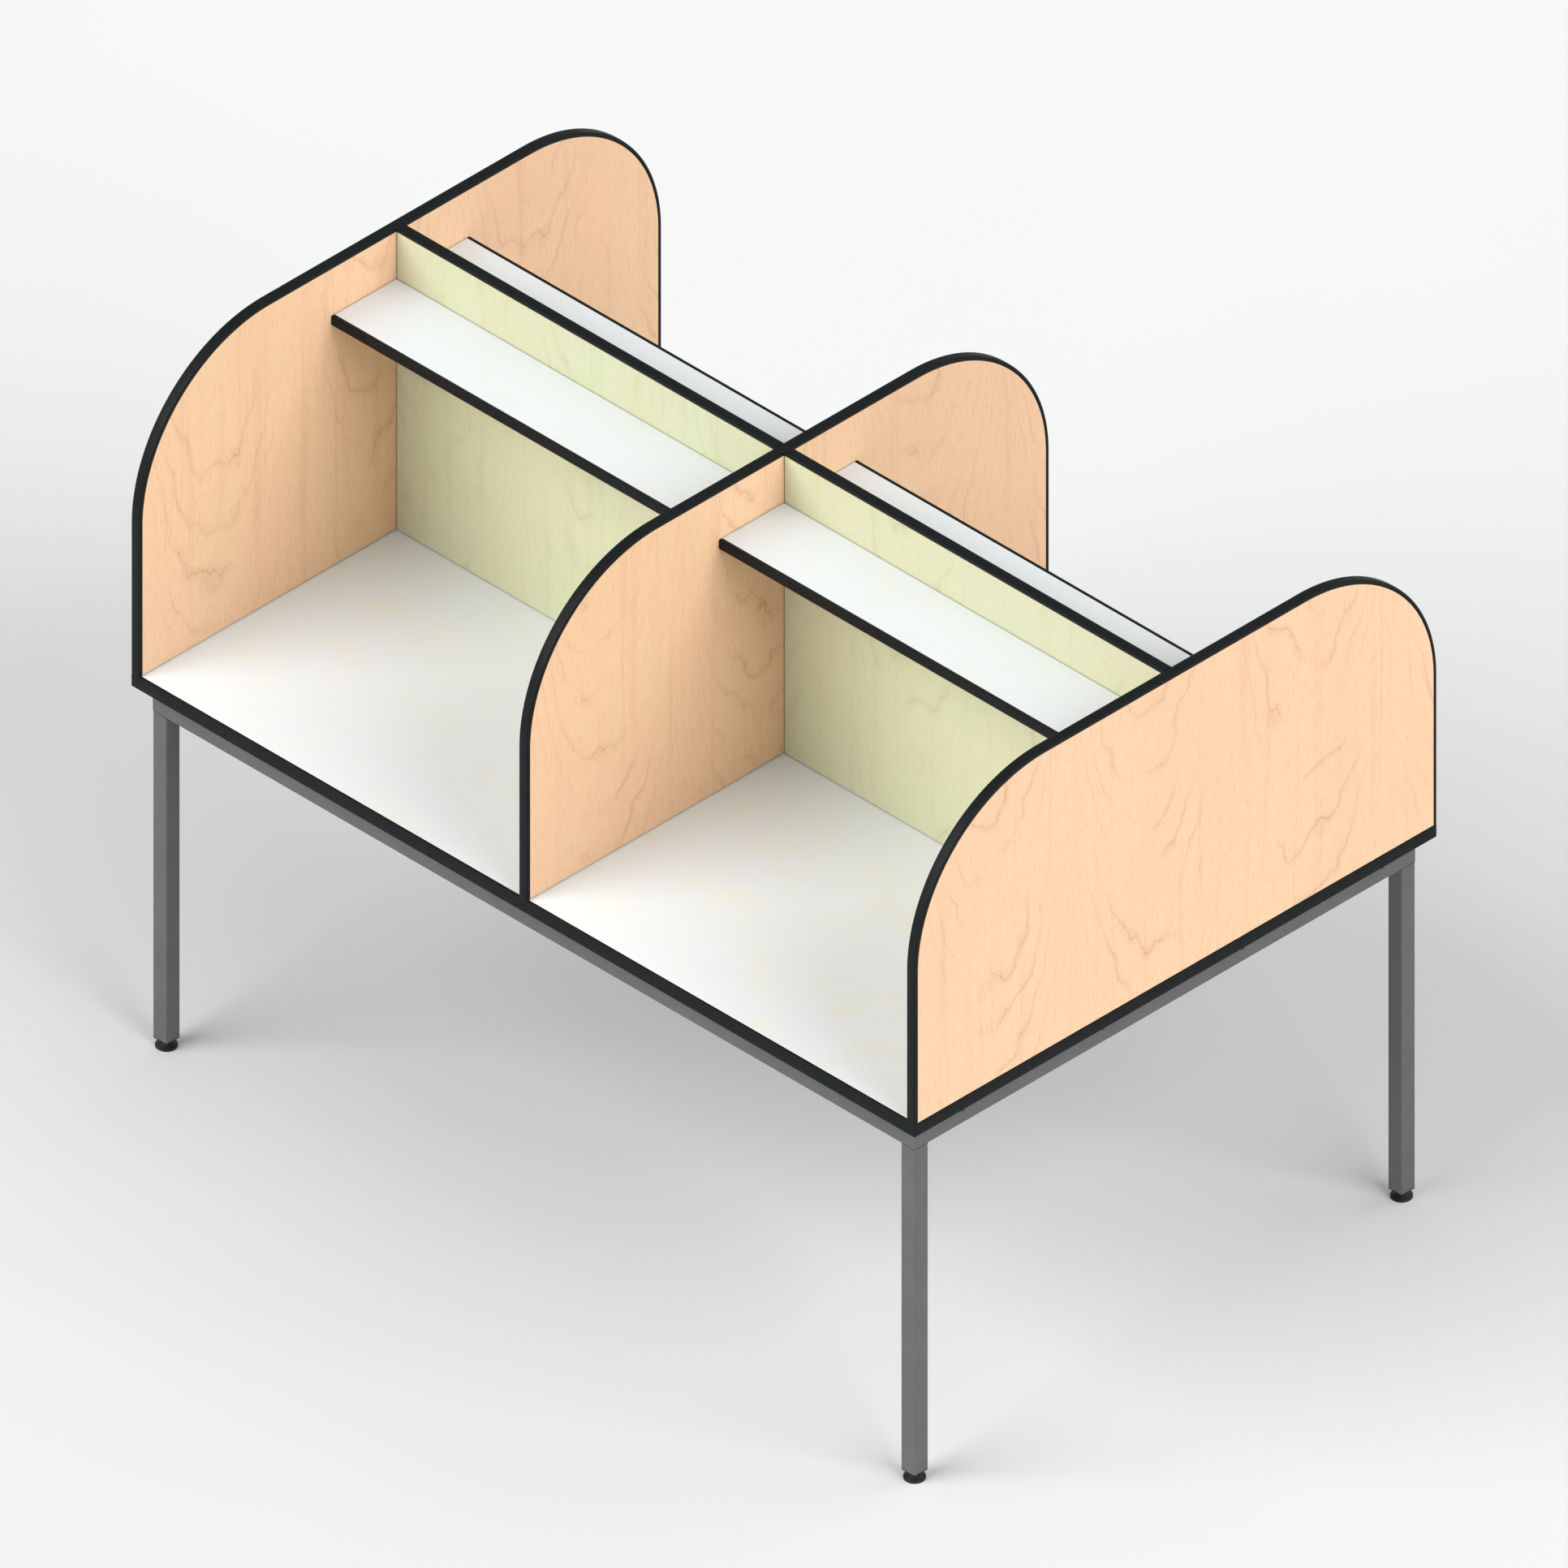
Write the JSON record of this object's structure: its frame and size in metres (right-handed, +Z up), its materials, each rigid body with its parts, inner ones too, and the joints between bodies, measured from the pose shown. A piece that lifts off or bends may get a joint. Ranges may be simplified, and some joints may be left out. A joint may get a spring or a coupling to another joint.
{
  "type": "study carrel",
  "caption": "Back-to-back study carrel cluster: rounded maple-faced side screens, centre spine and shelves on a banded worktop, square-leg steel frame with levelling feet.",
  "frame": {"origin": "on the floor under the middle of the worktop", "axes": "+X along the 1828.8 mm width, -Y towards the front row of workstations, +Z up"},
  "size_m": [1.8288, 1.2192, 1.3621],
  "materials": {
    "maple": "matt maple laminate, upright grain",
    "pale_maple": "matt pale green-yellow maple laminate",
    "worktop_laminate": "matt off-white laminate",
    "shelf_laminate": "matt off-white laminate on board",
    "backer": "plain brown balancing sheet",
    "particleboard": "particleboard",
    "edging": "satin near-black moulded edging",
    "edge_band": "satin near-black edge band",
    "frame_steel": "grey powder coat",
    "plated_steel": "black zinc plated",
    "cast_zinc": "die-cast zinc",
    "brass": "turned brass",
    "beech": "fluted beech",
    "plug_plastic": "black nylon",
    "foot_plastic": "black nylon"
  },
  "bodies": {
    "carrel": {"apron_rail_back": "frame_steel", "apron_rail_front": "frame_steel", "apron_rail_left": "frame_steel", "apron_rail_right": "frame_steel", "bolt_washers": "plated_steel", "corner_plate_back_left": "frame_steel", "corner_plate_back_right": "frame_steel", "corner_plate_front_left": "frame_steel", "corner_plate_front_right": "frame_steel", "cross_rail": "frame_steel", "fixing_tabs": "frame_steel", "leg_back_left": "frame_steel", "leg_back_right": "frame_steel", "leg_front_left": "frame_steel", "leg_front_right": "frame_steel", "leg_plug_back_left": "plug_plastic", "leg_plug_back_right": "plug_plastic", "leg_plug_front_left": "plug_plastic", "leg_plug_front_right": "plug_plastic", "middle_screen_bolts": "plated_steel", "screen_bolts": "plated_steel", "screen_inserts": "brass", "shelf_back_left": "shelf_laminate", "shelf_back_left_edging": "edging", "shelf_back_right": "shelf_laminate", "shelf_back_right_edging": "edging", "shelf_cam_bolts": "plated_steel", "shelf_cams": "cast_zinc", "shelf_double_cam_bolts": "plated_steel", "shelf_front_left": "shelf_laminate", "shelf_front_left_edging": "edging", "shelf_front_right": "shelf_laminate", "shelf_front_right_edging": "edging", "side_screen_left": "maple", "side_screen_left_edging": "edging", "side_screen_middle": "maple", "side_screen_middle_edging": "edging", "side_screen_right": "maple", "side_screen_right_edging": "edging", "spine_dowels": "beech", "spine_left": "pale_maple", "spine_left_edging": "edging", "spine_right": "pale_maple", "spine_right_edging": "edging", "worktop_backer": "backer", "worktop_band_back": "edge_band", "worktop_band_front": "edge_band", "worktop_band_left": "edge_band", "worktop_band_right": "edge_band", "worktop_core": "particleboard", "worktop_laminate": "worktop_laminate", "worktop_screws": "plated_steel"},
    "foot_front_left": {"leveller_foot_front_left": "foot_plastic"},
    "levelling_screw_front_left": {"leveller_screw_front_left": "plated_steel"},
    "foot_front_right": {"leveller_foot_front_right": "foot_plastic"},
    "levelling_screw_front_right": {"leveller_screw_front_right": "plated_steel"},
    "foot_back_left": {"leveller_foot_back_left": "foot_plastic"},
    "levelling_screw_back_left": {"leveller_screw_back_left": "plated_steel"},
    "foot_back_right": {"leveller_foot_back_right": "foot_plastic"},
    "levelling_screw_back_right": {"leveller_screw_back_right": "plated_steel"}
  },
  "joints": [
    {"name": "leveller_front_left_travel", "type": "slide", "parent": "carrel", "child": "foot_front_left", "axis": [0, 0, 1], "range_m": [-0.02, 0]},
    {"name": "leveller_front_left_turn", "type": "hinge", "parent": "foot_front_left", "child": "levelling_screw_front_left", "pos_m": [-0.87313, -0.56832, 0.0165], "axis": [0, 0, 1], "range_deg": [-4801, 0]},
    {"name": "leveller_front_right_travel", "type": "slide", "parent": "carrel", "child": "foot_front_right", "axis": [0, 0, 1], "range_m": [-0.02, 0]},
    {"name": "leveller_front_right_turn", "type": "hinge", "parent": "foot_front_right", "child": "levelling_screw_front_right", "pos_m": [0.87313, -0.56832, 0.0165], "axis": [0, 0, 1], "range_deg": [-4801, 0]},
    {"name": "leveller_back_left_travel", "type": "slide", "parent": "carrel", "child": "foot_back_left", "axis": [0, 0, 1], "range_m": [-0.02, 0]},
    {"name": "leveller_back_left_turn", "type": "hinge", "parent": "foot_back_left", "child": "levelling_screw_back_left", "pos_m": [-0.87313, 0.56832, 0.0165], "axis": [0, 0, 1], "range_deg": [-4801, 0]},
    {"name": "leveller_back_right_travel", "type": "slide", "parent": "carrel", "child": "foot_back_right", "axis": [0, 0, 1], "range_m": [-0.02, 0]},
    {"name": "leveller_back_right_turn", "type": "hinge", "parent": "foot_back_right", "child": "levelling_screw_back_right", "pos_m": [0.87313, 0.56832, 0.0165], "axis": [0, 0, 1], "range_deg": [-4801, 0]}
  ],
  "couplings": [
    {"joint": "leveller_front_left_turn", "follows": "leveller_front_left_travel", "rad_per_m": 4188.8},
    {"joint": "leveller_front_right_turn", "follows": "leveller_front_right_travel", "rad_per_m": 4188.8},
    {"joint": "leveller_back_left_turn", "follows": "leveller_back_left_travel", "rad_per_m": 4188.8},
    {"joint": "leveller_back_right_turn", "follows": "leveller_back_right_travel", "rad_per_m": 4188.8}
  ]
}
